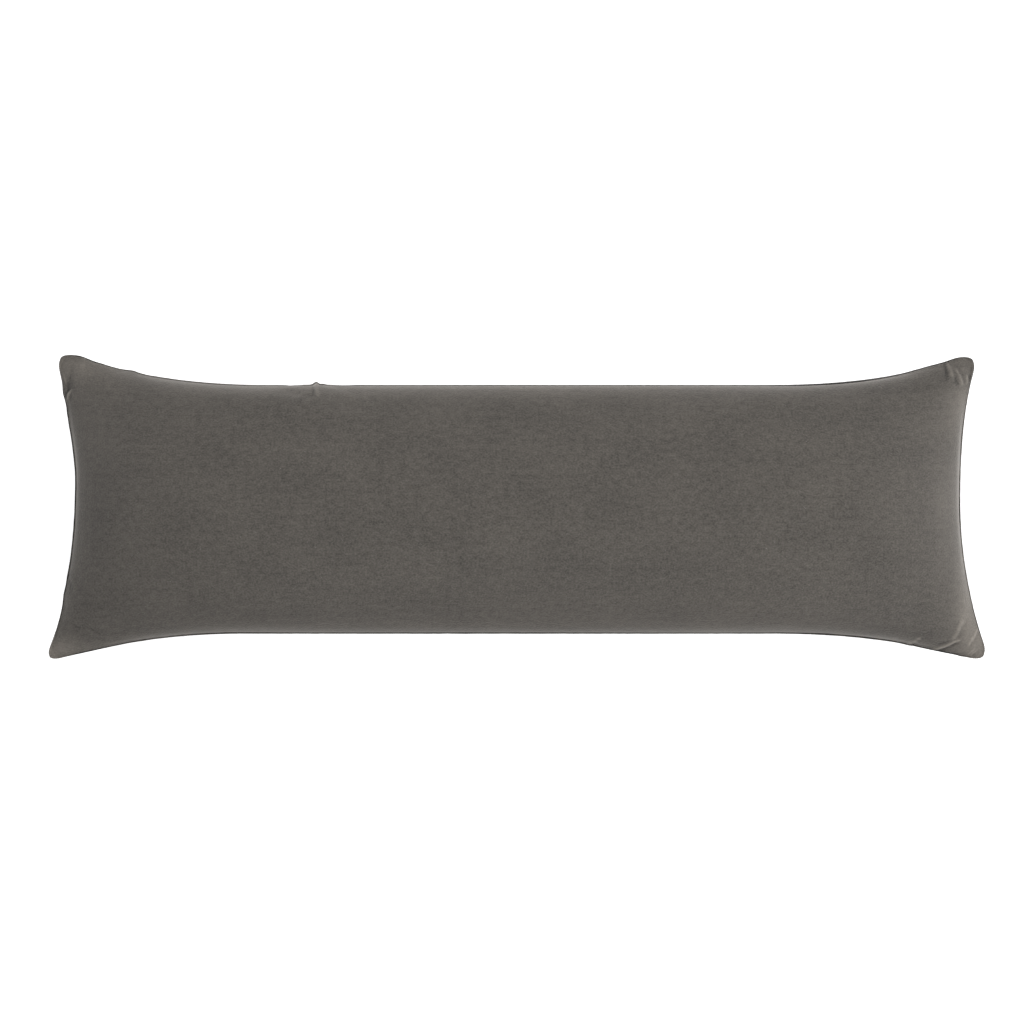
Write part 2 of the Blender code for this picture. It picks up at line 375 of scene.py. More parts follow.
class VelvetSettings(PropertyGroup):
    """Colours and pile of the velvet."""

    deep_colour: a_colour("Deep colour", "Where the pile leans away", (0.019, 0.0168, 0.0144))
    lit_colour: a_colour("Lit colour", "Where the pile stands upright", (0.141, 0.127, 0.110))
    sheen_colour: a_colour(
        "Sheen colour", "Colour of the sheen on surfaces that turn away", (0.72, 0.685, 0.65)
    )
    sheen: a_share("Sheen", "Strength of the sheen", 1.0)
    sheen_spread: a_share("Sheen spread", "How far the sheen reaches in from the edges", 0.6)
    crushed_sheen: a_share(
        "Crushed sheen", "Strength of the sheen where the seam has crushed the pile", 0.55
    )
    pile_relief: a_length("Pile relief", "Depth of the brushed pile's unevenness", 0.3 * MM)


class ThreadSettings(PropertyGroup):
    """Thread of the seam, seen only where the panels part a little."""

    stitch_length: a_length("Stitch length", "Length of thread that shows in each stitch", 2.1 * MM)
    stitch_gap: a_length("Stitch gap", "Gap from one stitch to the next", 0.9 * MM)
    thickness: a_length("Thickness", "Thickness of the thread", 0.4 * MM)
    colour: a_colour("Colour", "Colour of the thread", (0.055, 0.052, 0.047))


class FibreSettings(PropertyGroup):
    """Short loose fibres that cling to the pile."""

    density: a_number("Density", "Fibres on each square metre of cloth", 6000.0)
    length: a_length("Length", "Length of the longest fibres", 2.4 * MM)
    thickness: a_length("Thickness", "Thickness of a fibre", 0.14 * MM)
    colour: a_colour("Colour", "Colour of the fibres", (0.26, 0.25, 0.235))
    seed: IntProperty(
        name="Seed", description="Number that fixes where the fibres lie", default=4, min=0
    )


class StudioSettings(PropertyGroup):
    """Floor, lights and camera round the pillow."""

    camera_height: a_length("Camera height", "Height of the camera above the seam", 7.316)
    lens: a_number("Lens", "Focal length of the lens, in millimetres", 200.0)
    aim: FloatVectorProperty(
        name="Aim",
        description="Place in the plan that the camera looks straight down on",
        default=(-6.2 * MM, -6.7 * MM),
        size=2,
        subtype="XYZ_LENGTH",
    )
    upper_right_power: a_power(
        "Upper right light", "Power of the large light beyond the upper right corner", 58.0
    )
    upper_left_power: a_power(
        "Upper left light", "Power of the large light beyond the upper left corner", 27.0
    )
    lower_power: a_power("Lower light", "Power of the large light beyond the lower seam", 48.0)
    low_right_power: a_power(
        "Low right light", "Power of the low light that brings out the sheen", 15.5
    )
    surround: a_number("Surround", "Brightness that the walls give to the pillow", 0.01)
    wall_brightness: a_number("Walls", "Brightness of the walls as the camera sees them", 0.85)
    floor_colour: a_colour("Floor colour", "Colour of the plain floor", (0.6, 0.6, 0.6))
    floor_glow: a_number(
        "Floor glow", "How much paler the floor looks than its own light makes it", 0.95
    )


def spline_basis(count, places):
    """Shares that a row of control points has in a cubic spline, read at places from 0 to count - 1."""
    cell = np.clip(np.floor(places).astype(int), 0, count - 2)
    t = places - cell
    basis = (
        (1 - t) ** 3 / 6,
        (3 * t**3 - 6 * t**2 + 4) / 6,
        (-3 * t**3 + 3 * t**2 + 3 * t + 1) / 6,
        t**3 / 6,
    )
    weights = np.zeros((len(places), count + 2))
    rows = np.arange(len(places))
    for step, share in enumerate(basis):
        weights[rows, cell + step] += share
    # The row goes on straight past each end, so what falls there is shared with the last two points
    weights[:, 1] += 2 * weights[:, 0]
    weights[:, 2] -= weights[:, 0]
    weights[:, -2] += 2 * weights[:, -1]
    weights[:, -3] -= weights[:, -1]
    return weights[:, 1:-1]


def spline_weights(count, places):
    """Weights that turn a row of points into a smooth curve through each of them."""
    return spline_basis(count, places) @ np.linalg.inv(spline_basis(count, np.arange(count)))


def at_shares(points, shares):
    """Points at the given shares of the length of a row of points."""
    steps = np.linalg.norm(np.diff(points, axis=0), axis=1)
    run = np.concatenate([[0.0], np.cumsum(steps)])
    return np.stack([np.interp(shares * run[-1], run, column) for column in points.T], axis=1)


def bump(offset, half_width):
    """1 at no offset, falling smoothly to nearly 0 at twice the half width."""
    return np.exp(-((offset / half_width) ** 2))


def merged_solid():
    """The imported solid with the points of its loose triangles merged."""
    solid = bmesh.new()
    solid.from_mesh(SOLID.data)
    bmesh.ops.remove_doubles(solid, verts=solid.verts, dist=MERGE_DISTANCE)
    solid.normal_update()
    return solid


def seam_loop(solid):
    """Points of the seam in order: it parts the triangles that face up from those that face down."""
    neighbours = {}
    for edge in solid.edges:
        if len({face.normal.z > 0 for face in edge.link_faces}) == 2:
            first, second = edge.verts
            neighbours.setdefault(first, []).append(second)
            neighbours.setdefault(second, []).append(first)
    start = min(neighbours, key=lambda vert: vert.co.x + vert.co.y)
    loop = [start, neighbours[start][0]]
    while loop[-1] != start:
        onward = [vert for vert in neighbours[loop[-1]] if vert != loop[-2]]
        loop.append(onward[0])
    return np.array([vert.co for vert in loop[:-1]])


def smooth_loop(loop):
    """A closed row of points as a fine smooth curve, whose sharp bends are rounded as sewn cloth is."""
    lap, steps = 8, 12
    overlapped = np.vstack([loop[-lap:], loop, loop[:lap]])
    places = lap + np.arange(steps * len(loop)) / steps
    curve = spline_weights(len(overlapped), places) @ overlapped
    closed = np.vstack([curve, curve[:1]])
    length = np.linalg.norm(np.diff(closed, axis=0), axis=1).sum()
    count = round(length / SEAM_STEP)
    even = at_shares(closed, np.arange(count) / count)
    reach = round(SEAM_ROUNDING / SEAM_STEP)
    return sum(np.roll(even, shift, axis=0) for shift in range(-reach, reach + 1)) / (2 * reach + 1)


def seam_sides(loop):
    """The four sides of the seam between its tips, each from left to right or from lower to upper."""
    ahead = np.roll(loop, -1, axis=0)
    if np.sum(loop[:, 0] * ahead[:, 1] - ahead[:, 0] * loop[:, 1]) < 0:
        loop = loop[::-1]
    loop = smooth_loop(loop)
    loop[:, :2] *= 1 + TIP_SPREAD * np.maximum(SEAM_HEIGHT - loop[:, 2:], 0)
    ways = ((-1, -1), (1, -1), (1, 1), (-1, 1))
    tips = [int(np.argmax(loop[:, :2] @ np.array(way))) for way in ways]
    loop = np.roll(loop, -tips[0], axis=0)
    ends = [(tip - tips[0]) % len(loop) for tip in tips] + [len(loop)]
    closed = np.vstack([loop, loop[:1]])
    lower, right, upper, left = (closed[start : end + 1] for start, end in zip(ends, ends[1:]))
    return {"lower": lower, "right": right, "upper": upper[::-1], "left": left[::-1]}


def plan_patch(sides, along, across):
    """A surface stretched between the four sides, at shares along X and across it."""
    lower, upper = at_shares(sides["lower"], along), at_shares(sides["upper"], along)
    left, right = at_shares(sides["left"], across), at_shares(sides["right"], across)
    s, t = along[:, None, None], across[None, :, None]
    between_long = lower[:, None] * (1 - t) + upper[:, None] * t
    between_short = left[None] * (1 - s) + right[None] * s
    between_tips = (lower[:1, None] * (1 - t) + upper[:1, None] * t) * (1 - s) + (
        lower[-1:, None] * (1 - t) + upper[-1:, None] * t
    ) * s
    return between_long + between_short - between_tips


def laid_on(surface, patch, side):
    """Moves the inner points of a patch straight onto the solid, from above or, for side -1, below."""
    laid = patch.copy()
    for i in range(1, patch.shape[0] - 1):
        for j in range(1, patch.shape[1] - 1):
            x, y, z = patch[i, j]
            hit = surface.ray_cast(Vector((x, y, side)), Vector((0, 0, -side)))
            laid[i, j, 2] = z if hit[0] is None else hit[0].z
    return laid


def evenly_laid(points, columns, rows):
    """Moves grid points over their surface until they lie evenly, as the threads of cloth do."""
    for _ in range(SPREADING_PASSES):
        points = np.stack([at_shares(column, rows) for column in points])
        across = [at_shares(points[:, j], columns) for j in range(points.shape[1])]
        points = np.stack(across, axis=1)
    return points


def softened(points):
    """Rounds off the facets of a grid whose border stays in place."""
    for _ in range(SOFTENING_PASSES):
        around = points[:-2, 1:-1] + points[2:, 1:-1] + points[1:-1, :-2] + points[1:-1, 2:]
        points[1:-1, 1:-1] = points[1:-1, 1:-1] / 2 + around / 8
    return points


def laid_panels(cover, solid, sides):
    """Face and back panel as even grids of points on the solid, joined at the seam."""
    surface = BVHTree.FromBMesh(solid)
    columns, rows = (
        np.linspace(0, 1, round(cut / cover.settling_cell) + 1)
        for cut in (cover.cut_length, cover.cut_width)
    )
    # The patch's lines crowd towards the seam, where the solid is steepest
    crowded = (
        (1 - np.cos(pi * np.linspace(0, 1, detail * len(shares)))) / 2
        for detail, shares in zip(PATCH_DETAIL, (columns, rows))
    )
    patch = plan_patch(sides, *crowded)
    laid = (laid_on(surface, patch, side) for side in (1, -1))
    return [softened(evenly_laid(points, columns, rows)) for points in laid]


def panel_numbers(columns, rows):
    """Point numbers of the face and back grids, which share the numbers on their border."""
    face = np.arange(columns * rows).reshape(columns, rows)
    back = face.copy()
    inner = (columns - 2) * (rows - 2)
    back[1:-1, 1:-1] = columns * rows + np.arange(inner).reshape(columns - 2, rows - 2)
    return face, back


def cells(grid, flipped):
    """The four corners of each cell of a grid, in the order that makes the face point out."""
    corners = [grid[:-1, :-1], grid[1:, :-1], grid[1:, 1:], grid[:-1, 1:]]
    if flipped:
        corners.reverse()
    return np.stack(corners, axis=2).reshape(-1, 4, *grid.shape[2:])


def both_panels(face, back):
    """The points of the two panels in one list, those of the seam only once."""
    return np.vstack([face.reshape(-1, 3), back[1:-1, 1:-1].reshape(-1, 3)])


def closed_mesh(name, face, back):
    """A mesh of both panels joined along the seam."""
    face_numbers, back_numbers = panel_numbers(*face.shape[:2])
    quads = np.vstack([cells(face_numbers, False), cells(back_numbers, True)])
    mesh = bpy.data.meshes.new(name)
    mesh.from_pydata(both_panels(face, back).tolist(), [], quads.tolist())
    mesh.update()
    return mesh


def settled(cover, face, back):
    """Lets the sewn cover settle as cloth: the panels are longer than the seam that draws them in."""
    scene = bpy.context.scene
    cloth = bpy.data.objects.new("settling", closed_mesh("settling", face, back))
    scene.collection.objects.link(cloth)
    face_numbers, back_numbers = panel_numbers(*face.shape[:2])
    start = both_panels(face, back)
    # Each panel rests at the size it was cut to, flat
    flat = np.zeros_like(face)
    flat[..., 0] = np.linspace(-0.5, 0.5, face.shape[0])[:, None] * cover.cut_length
    flat[..., 1] = np.linspace(-0.5, 0.5, face.shape[1])[None, :] * cover.cut_width
    cloth.shape_key_add(name="Basis")
    cut = cloth.shape_key_add(name="cut")
    cut.data.foreach_set("co", both_panels(flat, flat).astype(np.float32).ravel())
    # The seam and what lies on the bed stay in place, and the filling holds the rest a little
    fixed = start[:, 2] < BED_HOLD
    fixed[face_numbers[[0, -1]].ravel()] = True
    fixed[face_numbers[:, [0, -1]].ravel()] = True
    held = cloth.vertex_groups.new(name="held")
    held.add(np.flatnonzero(fixed).tolist(), 1.0, "REPLACE")
    held.add(np.flatnonzero(~fixed).tolist(), cover.hold, "REPLACE")
    modifier = cloth.modifiers.new("Cloth", "CLOTH")
    settings = modifier.settings
    for name, value in CLOTH.items():
        setattr(settings, name, value)
    settings.rest_shape_key = cut
    settings.vertex_group_mass = held.name
    settings.use_pressure = True
    settings.uniform_pressure_force = cover.pressure
    settings.effector_weights.gravity = 0
    modifier.collision_settings.use_collision = False
    modifier.point_cache.frame_start = 1
    modifier.point_cache.frame_end = cover.settling_frames
    for frame_number in range(1, cover.settling_frames + 1):
        scene.frame_set(frame_number)
    evaluated = cloth.evaluated_get(bpy.context.evaluated_depsgraph_get())
    points = np.empty(len(start) * 3, np.float32)
    evaluated.data.vertices.foreach_get("co", points)
    move = points.reshape(-1, 3) - start
    length = np.linalg.norm(move, axis=1, keepdims=True)
    move *= cover.furthest_move / np.maximum(length, cover.furthest_move)
    scene.frame_set(1)
    mesh = cloth.data
    bpy.data.objects.remove(cloth)
    bpy.data.meshes.remove(mesh)
    points = start + move
    points[:, 2] = np.maximum(points[:, 2], 0)
    return points[face_numbers], points[back_numbers]


def cut_lines(length, caught_up_place=inf):
    """Distances from seam to seam, close together near the seams and where a seam is caught up."""
    lines = [0.0]
    while lines[-1] < length:
        place = lines[-1]
        by_seam = np.interp(min(place, length - place), CELL_DISTANCES, CELL_LENGTHS)
        off = abs(place - caught_up_place)
        lines.append(place + min(by_seam, np.interp(off, CAUGHT_UP_DISTANCES, CAUGHT_UP_LENGTHS)))
    return np.array(lines) * length / lines[-1]


def panel_lines(cover):
    """Lines along and across each panel, on which its finished points lie."""
    return cut_lines(cover.cut_length, CAUGHT_UP_PLACE), cut_lines(cover.cut_width)


def fine_panel(panel, sides, shares, from_sides):
    """A settled panel as a smooth surface at the shares of the fine lines, met by the exact seam."""
    by_column, by_row = (
        spline_weights(count, share * (count - 1))
        for count, share in zip(panel.shape, shares)
    )
    fine = np.einsum("ac,crk,br->abk", by_column, panel, by_row, optimize=True)
    borders = {
        "lower": (0, fine[:, 0]),
        "upper": (0, fine[:, -1]),
        "left": (1, fine[0]),
        "right": (1, fine[-1]),
    }
    moves = {}
    for name, (direction, border) in borders.items():
        off = at_shares(sides[name], shares[direction]) - border
        moves[name] = np.expand_dims(off, 1 - direction)
    for name, move in moves.items():
        fine = fine + move * bump(from_sides[name], SEAM_PULL)[..., None]
    return fine


def outward(points, side):
    """Unit normals of a panel's grid, pointing out: side is 1 for the face and -1 for the back."""
    normals = np.cross(np.gradient(points, axis=0), np.gradient(points, axis=1)) * side
    lengths = np.linalg.norm(normals, axis=2, keepdims=True)
    return normals / np.maximum(lengths, SMALLEST_NORMAL)


def crease_parts(path, half_width, points):
    """How much each point of the face belongs to a crease's ridge and to its trough, 1 at the most."""
    x, y = points[..., 0], points[..., 1]
    nearest = np.full(x.shape, np.inf)
    aside, past = np.zeros(x.shape), np.zeros(x.shape)
    for start, end in zip(path, path[1:]):
        length = np.linalg.norm(end - start)
        way = (end - start) / length
        along = (x - start[0]) * way[0] + (y - start[1]) * way[1]
        off = (x - start[0]) * way[1] - (y - start[1]) * way[0]
        beyond = np.maximum(0, np.maximum(-along, along - length))
        distance = np.hypot(off, beyond)
        closer = distance < nearest
        nearest = np.where(closer, distance, nearest)
        aside, past = np.where(closer, off, aside), np.where(closer, beyond, past)
    ends = bump(past, CREASE_ENDS * half_width)
    trough = bump(aside - TROUGH_ASIDE * half_width, TROUGH_HALF_WIDTH * half_width)
    return bump(aside, half_width) * ends, trough * ends


def creased(points):
    """How far the creases lift the face at each point, and the painted highlight and shade they put on
    its pile.
    """
    height, paler = np.zeros(points.shape[:2]), np.zeros(points.shape[:2])
    for path, half_width, lift, depth, shade in CREASES:
        ridge, trough = crease_parts(np.array(path) * MM, half_width * MM, points)
        height += lift * MM * ridge - depth * MM * trough
        # Painted highlight on each ridge and painted shade in each trough
        paler += shade * (RIDGE_SHADE * ridge - TROUGH_SHADE * trough * (depth != 0))
    return height, paler


def brushed(points):
    """How much paler, or darker below 0, the pile is painted at each point of a panel: painted light
    and shade.
    """
    paler = np.zeros(points.shape[:2])
    for x, y, half_length, half_width, change in PAINTED_LIGHT_PATCHES:
        lengthwise = bump(points[..., 0] - x * MM, half_length * MM)
        paler += change * lengthwise * bump(points[..., 1] - y * MM, half_width * MM)
    return paler


def gather_shift(points, from_sides):
    """How far the gathers move each point in the plan, away from the pillow."""
    ways = {"upper": (0, 1), "lower": (0, -1), "left": (-1, 0), "right": (1, 0)}
    shift = np.zeros_like(points)
    for side, place, out, half_width in GATHERS:
        way = ways[side]
        along = points[..., 0] if way[0] == 0 else points[..., 1]
        here = bump(along - place * MM, half_width * MM)
        size = out * MM * here * bump(from_sides[side], GATHER_REACH)
        shift[..., 0] += way[0] * size
        shift[..., 1] += way[1] * size
    return shift


def places_by_side(along, across, from_sides):
    """For each side of the seam: its number and name, the distances from it, the places along it."""
    for number, (name, distances) in enumerate(from_sides.items()):
        places = along[:, None] if name in ("lower", "upper") else across[None, :]
        yield number, name, distances, places


def noise_at(places, wave, y, z):
    """Smooth noise from -1 to 1 at each place, in waves of this length, on a line of its own."""
    values = [noise.noise(Vector((place / wave, y, z))) for place in places.ravel()]
    return np.array(values).reshape(places.shape)


def fine_gathers(along, across, from_sides, layer):
    """Small uneven gathers, up and down, that run straight in from the seam and fade out."""
    heights = 0
    middling, swelling = FINE_GATHER_HEIGHTS
    for number, _, distances, places in places_by_side(along, across, from_sides):
        where = np.array((number, layer))
        wave = noise_at(places, FINE_GATHER_WAVE, *(where * WAVE_STEPS))
        swell = noise_at(places, FINE_GATHER_SWELL, *(where * SWELL_STEPS))
        fading = np.exp(-distances / FINE_GATHER_FADING)
        heights = heights + (middling + swelling * swell) * wave * fading
    return heights


def seam_tone(along, across, from_sides, layer, peak, reach):
    """The seam's tones, uneven along each side, carried in to a peak at a distance from it: the depth
    of its painted shade, and how far the face is held down.
    """
    darkest = np.zeros((len(along), len(across)))
    for number, name, distances, places in places_by_side(along, across, from_sides):
        where = (TONE_START + layer * TONE_STEPS[0], number * TONE_STEPS[1])
        uneven = noise_at(places, TONE_WAVE, *where)
        tones = SEAM_TONES[name]
        row = np.interp(places / places.max(), np.linspace(0, 1, len(tones)), tones)
        row = np.clip(row * (1 + TONE_CHANGE * uneven), 0, 1)
        darkest = np.maximum(darkest, row * bump(distances - peak, reach))
    return darkest


def dressed(cover, panels, along, across, from_sides):
    """Gives the fine panels their seam edge, gathers and creases, and says where painted light and
    shade make them paler or darker.
    """
    from_seam = np.minimum.reduce(list(from_sides.values()))
    groove = (cover.groove_depth + cover.roll) * bump(from_seam, cover.groove_width)
    roll = cover.roll * bump(from_seam, ROLL_REACH)
    lip = cover.lip_step * np.exp(-from_seam / LIP_FADING)
    shaped, shades = [], []
    for layer, (panel, side) in enumerate(zip(panels, (1, -1))):
        height = roll - groove
        height = height + cover.gathering * fine_gathers(along, across, from_sides, layer)
        # Painted light and shade on the pile, from the patches
        paler = brushed(panel)
        if side == 1:
            lift, shade = creased(panel)
            held_down = seam_tone(along, across, from_sides, layer, *HELD_DOWN)
            height = height - lip + lift - cover.flattening * held_down
            paler = paler + shade
        shades.append(paler)
        lifted = panel + outward(panel, side) * height[..., None]
        shaped.append(lifted + gather_shift(panel, from_sides))
    # The two panels meet halfway along the seam, and neither goes below the bed
    border = np.zeros(from_seam.shape, bool)
    border[[0, -1]] = border[:, [0, -1]] = True
    middle = (shaped[0][border] + shaped[1][border]) / 2
    shaped[0][border] = shaped[1][border] = middle
    for panel in shaped:
        panel[..., 2] = np.maximum(panel[..., 2], 0)
    return shaped, shades


def cover_mesh(cover):
    """The finished mesh of the cover, with the cloth's own coordinates, and its painted light and
    shade, on it.
    """
    solid = merged_solid()
    sides = seam_sides(seam_loop(solid))
    panels = laid_panels(cover, solid, sides)
    solid.free()
    panels = settled(cover, *panels)
    along, across = panel_lines(cover)
    shares = (along / cover.cut_length, across / cover.cut_width)
    x, y = np.meshgrid(along, across, indexing="ij")
    from_sides = {
        "left": x,
        "right": cover.cut_length - x,
        "lower": y,
        "upper": cover.cut_width - y,
    }
    panels = [fine_panel(panel, sides, shares, from_sides) for panel in panels]
    (face, back), shades = dressed(cover, panels, along, across, from_sides)
    mesh = closed_mesh("pillow_cover", face, back)
    cloth = np.stack((x, y), axis=2)
    shifted = cloth + (0, BACK_PANEL_SHIFT)
    corners = np.vstack([cells(cloth, False), cells(shifted, True)])
    uv_map = mesh.uv_layers.new(name="cloth")
    uv_map.uv.foreach_set("vector", corners.astype(np.float32).ravel())
    # Painted shade along the seam, on the face and on the back
    tones = [
        seam_tone(along, across, from_sides, layer, 0, reach)
        for layer, reach in enumerate(SEAM_TONE_REACHES)
    ]
    # The seam's painted shade and the pile's painted light and shade go on the points for the velvet
    for name, (on_face, on_back) in {"seam_shade": tones, "brushed": shades}.items():
        attribute = mesh.attributes.new(name, "FLOAT", "POINT")
        values = np.concatenate([on_face.ravel(), on_back[1:-1, 1:-1].ravel()])
        attribute.data.foreach_set("value", values.astype(np.float32))
    cell_tones = np.concatenate([cells(tone, False).mean(axis=1) for tone in tones])
    crushed = (cell_tones > CRUSHED_TONE).astype(np.int32)
    mesh.polygons.foreach_set("material_index", crushed)
    mesh.shade_smooth()
    return mesh


def add(nodes, kind, inputs=None, **settings):
    """A new node of a tree with its settings, and with values on the inputs that aren't joined."""
    node = nodes.new(kind)
    for name, value in settings.items():
        setattr(node, name, value)
    for name, value in (inputs or {}).items():
        node.inputs[name].default_value = value
    return node


def link(nodes, source, target):
    """Joins an output socket to an input socket of the same tree."""
    nodes.id_data.links.new(source, target)


def join(nodes, *joints):
    """Joins nodes of the same tree: each joint is a node, its output, the next node and its input."""
    for source, output, target, entry in joints:
        link(nodes, source.outputs[output], target.inputs[entry])


def grain_group():
    """Node group: uneven grain with its own length and width on the cloth, from 0 to 1."""
    tree = bpy.data.node_groups.new("grain", "ShaderNodeTree")
    tree.interface.new_socket("Vector", in_out="INPUT", socket_type="NodeSocketVector")
    for name, default in GRAIN_SIZES.items():
        socket = tree.interface.new_socket(name, in_out="INPUT", socket_type="NodeSocketFloat")
        socket.default_value = default
    tree.interface.new_socket("Grain", in_out="OUTPUT", socket_type="NodeSocketFloat")
    nodes = tree.nodes
    given, result = nodes.new("NodeGroupInput"), nodes.new("NodeGroupOutput")
    size = add(nodes, "ShaderNodeCombineXYZ", {"Z": 1})
    scaled = add(nodes, "ShaderNodeVectorMath", operation="DIVIDE")
    pattern = add(nodes, "ShaderNodeTexNoise", {"Scale": 1})
    spread = nodes.new("ShaderNodeMapRange")
    join(
        nodes,
        (given, "Length", size, "X"),
        (given, "Width", size, "Y"),
        (given, "Vector", scaled, 0),
        (size, "Vector", scaled, 1),
        (scaled, "Vector", pattern, "Vector"),
        (given, "Detail", pattern, "Detail"),
        (pattern, "Fac", spread, "Value"),
        (given, "Low", spread, "From Min"),
        (given, "High", spread, "From Max"),
        (spread, "Result", result, "Grain"),
    )
    return tree


def add_grain(nodes, vector, *sizes):
    """Places the grain group in a material with its sizes in their order, and returns its output."""
    tree = bpy.data.node_groups.get("grain") or grain_group()
    node = add(nodes, "ShaderNodeGroup", dict(zip(GRAIN_SIZES, sizes)), node_tree=tree)
    link(nodes, vector, node.inputs["Vector"])
    return node.outputs["Grain"]


def add_math(nodes, operation, first, second):
    """A Math node whose inputs are sockets or plain numbers."""
    node = add(nodes, "ShaderNodeMath", operation=operation)
    for socket, value in zip(node.inputs, (first, second)):
        if isinstance(value, (int, float)):
            socket.default_value = value
        else:
            link(nodes, value, socket)
    return node.outputs[0]


def new_material(name, finish):
    """A material with plain values on its shader, its nodes, and the shader itself."""
    material = bpy.data.materials.new(name)
    material.use_nodes = True
    nodes = material.node_tree.nodes
    shader = nodes["Principled BSDF"]
    for socket, value in finish.items():
        shader.inputs[socket].default_value = value
    return material, nodes, shader


def velvet_material(velvet):
    """Short pile: pale and dark clouds, nap, fine grain and faint bands, with painted light and shade
    from the mesh and painted shade along the seam, and a pale sheen.
    """
    finish = {
        "Specular IOR Level": 0.2,
        "Sheen Weight": velvet.sheen,
        "Sheen Roughness": velvet.sheen_spread,
        "Sheen Tint": (*velvet.sheen_colour, 1),
    }
    material, nodes, shader = new_material("charcoal_velvet", finish)
    place = add(nodes, "ShaderNodeUVMap", uv_map="cloth")
    grains, weighted = {}, 0.0
    for name, (length, width, detail, share) in GRAINS.items():
        grains[name] = add_grain(nodes, place.outputs["UV"], length, width, detail, *VELVET_RANGE)
        part = add_math(nodes, "MULTIPLY", grains[name], share)
        weighted = add_math(nodes, "ADD", weighted, part)
    # Painted light and shade from the mesh, from patches and creases, makes the pile's colour paler or
    # darker
    painted_light_input = add(nodes, "ShaderNodeAttribute", attribute_name="brushed")
    paler = add_math(nodes, "MULTIPLY", painted_light_input.outputs["Fac"], PAINTED_LIGHT_STRENGTH)
    weighted = add_math(nodes, "MAXIMUM", add_math(nodes, "ADD", weighted, paler), 0.0)
    colours = {"A": (*velvet.deep_colour, 1), "B": (*velvet.lit_colour, 1)}
    shade = add(nodes, "ShaderNodeMix", colours, data_type="RGBA", clamp_factor=False)
    link(nodes, weighted, shade.inputs["Factor"])
    # Painted shade along the seam darkens the pile's colour, deepest right at it
    seam = add(nodes, "ShaderNodeAttribute", attribute_name="seam_shade")
    shade_colours = {"B": SEAM_SHADE_COLOUR}
    darker = add(nodes, "ShaderNodeMix", shade_colours, data_type="RGBA", blend_type="MULTIPLY")
    relief = add(nodes, "ShaderNodeBump", {"Strength": 0.8, "Distance": velvet.pile_relief})
    nap_height = add_math(nodes, "MULTIPLY", grains["nap"], NAP_RELIEF)
    height = add_math(nodes, "ADD", grains["fine"], nap_height)
    link(nodes, height, relief.inputs["Height"])
    rough = add(nodes, "ShaderNodeMapRange", {"To Min": 0.82, "To Max": 0.98})
    link(nodes, grains["cloud"], rough.inputs["Value"])
    join(
        nodes,
        (seam, "Fac", darker, "Factor"),
        (shade, "Result", darker, "A"),
        (darker, "Result", shader, "Base Color"),
        (relief, "Normal", shader, "Normal"),
        (rough, "Result", shader, "Roughness"),
    )
    return material


def crushed_material(cloth, sheen):
    """The same cloth where its pile is crushed, with less sheen."""
    material = cloth.copy()
    material.name = "crushed_velvet"
    material.node_tree.nodes["Principled BSDF"].inputs["Sheen Weight"].default_value = sheen
    return material


def yarn_material(name, colour, grain):
    """Matt spun fibre, a little uneven along its length."""
    finish = {"Roughness": 0.85, "Sheen Weight": 0.3}
    material, nodes, shader = new_material(name, finish)
    place = nodes.new("ShaderNodeTexCoord")
    twist = add_grain(nodes, place.outputs["Object"], grain, grain)
    dark, pale = ((*(min(1, tone * part) for part in colour), 1) for tone in YARN_TONES)
    shade = add(nodes, "ShaderNodeMix", {"A": dark, "B": pale}, data_type="RGBA")
    link(nodes, twist, shade.inputs["Factor"])
    link(nodes, shade.outputs["Result"], shader.inputs["Base Color"])
    return material


def new_piece(name, mesh):
    """A piece of the object, at the origin, linked to the scene."""
    piece = bpy.data.objects.new(name, mesh)
    bpy.context.scene.collection.objects.link(piece)
    return piece


def grown(name, tree, base_mesh, values):
    """A piece with a plain mesh made by a node tree from a base mesh, its inputs set by name."""
    base = new_piece(name + "_base", base_mesh)
    modifier = base.modifiers.new(name, "NODES")
    modifier.node_group = tree
    identifiers = {
        item.name: item.identifier
        for item in tree.interface.items_tree
        if item.item_type == "SOCKET" and item.in_out == "INPUT"
    }
    for socket, value in values.items():
        modifier[identifiers[socket]] = value
    depsgraph = bpy.context.evaluated_depsgraph_get()
    mesh = bpy.data.meshes.new_from_object(base.evaluated_get(depsgraph))
    mesh.name = name
    bpy.data.objects.remove(base)
    return new_piece(name, mesh)


def geometry_tree(name, sockets):
    """An empty geometry node tree with its named inputs, a material last, and its two end nodes."""
    tree = bpy.data.node_groups.new(name, "GeometryNodeTree")
    for socket, kind in {"Geometry": "Geometry", **sockets, "Material": "Material"}.items():
        tree.interface.new_socket(socket, in_out="INPUT", socket_type="NodeSocket" + kind)
    tree.interface.new_socket("Geometry", in_out="OUTPUT", socket_type="NodeSocketGeometry")
    return tree, tree.nodes.new("NodeGroupInput"), tree.nodes.new("NodeGroupOutput")


def finish_tree(nodes, laid, given, result):
    """Ends a tree: its instances become real, smooth and of the given material."""
    real = nodes.new("GeometryNodeRealizeInstances")
    smooth = nodes.new("GeometryNodeSetShadeSmooth")
    painted = nodes.new("GeometryNodeSetMaterial")
    join(
        nodes,
        (laid, "Instances", real, "Geometry"),
        (real, "Geometry", smooth, "Geometry"),
        (smooth, "Geometry", painted, "Geometry"),
        (given, "Material", painted, "Material"),
        (painted, "Geometry", result, "Geometry"),
    )


